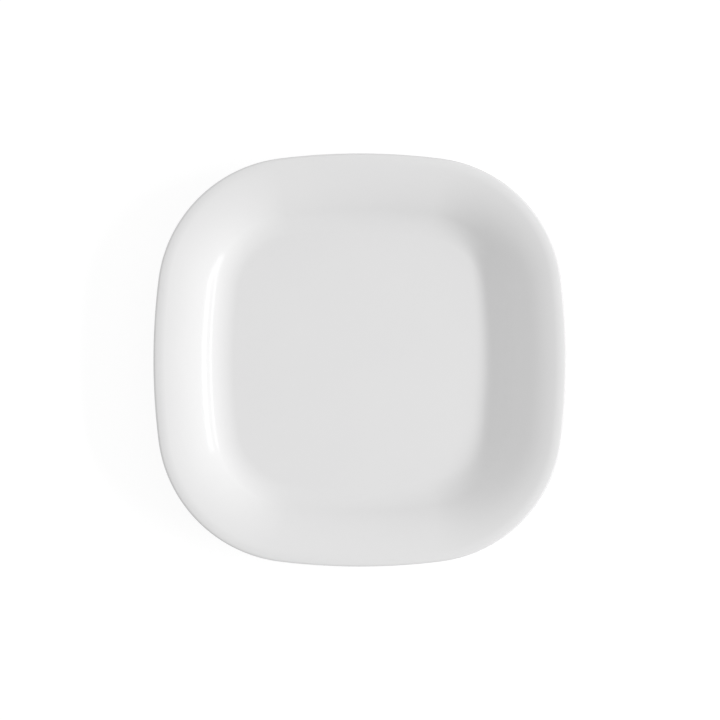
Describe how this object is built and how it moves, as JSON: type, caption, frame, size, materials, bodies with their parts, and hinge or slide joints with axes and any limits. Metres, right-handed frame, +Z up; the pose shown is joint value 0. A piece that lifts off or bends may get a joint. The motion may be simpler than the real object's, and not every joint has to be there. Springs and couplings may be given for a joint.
{
  "type": "square dinner plate",
  "caption": "Square white dinner plate with bowed sides, round corners, a flat well, a wide curved rim with a rolled edge, and a low foot ring to stand on.",
  "frame": {"origin": "centre of the plate, on the surface that its foot ring stands on", "axes": "+Z up out of the well; +X and +Y through the middles of two neighbouring sides"},
  "size_m": [0.27, 0.27, 0.0247],
  "materials": {
    "opal_glass": "gloss"
  },
  "bodies": {
    "root": {"plate": "opal_glass"}
  },
  "joints": []
}
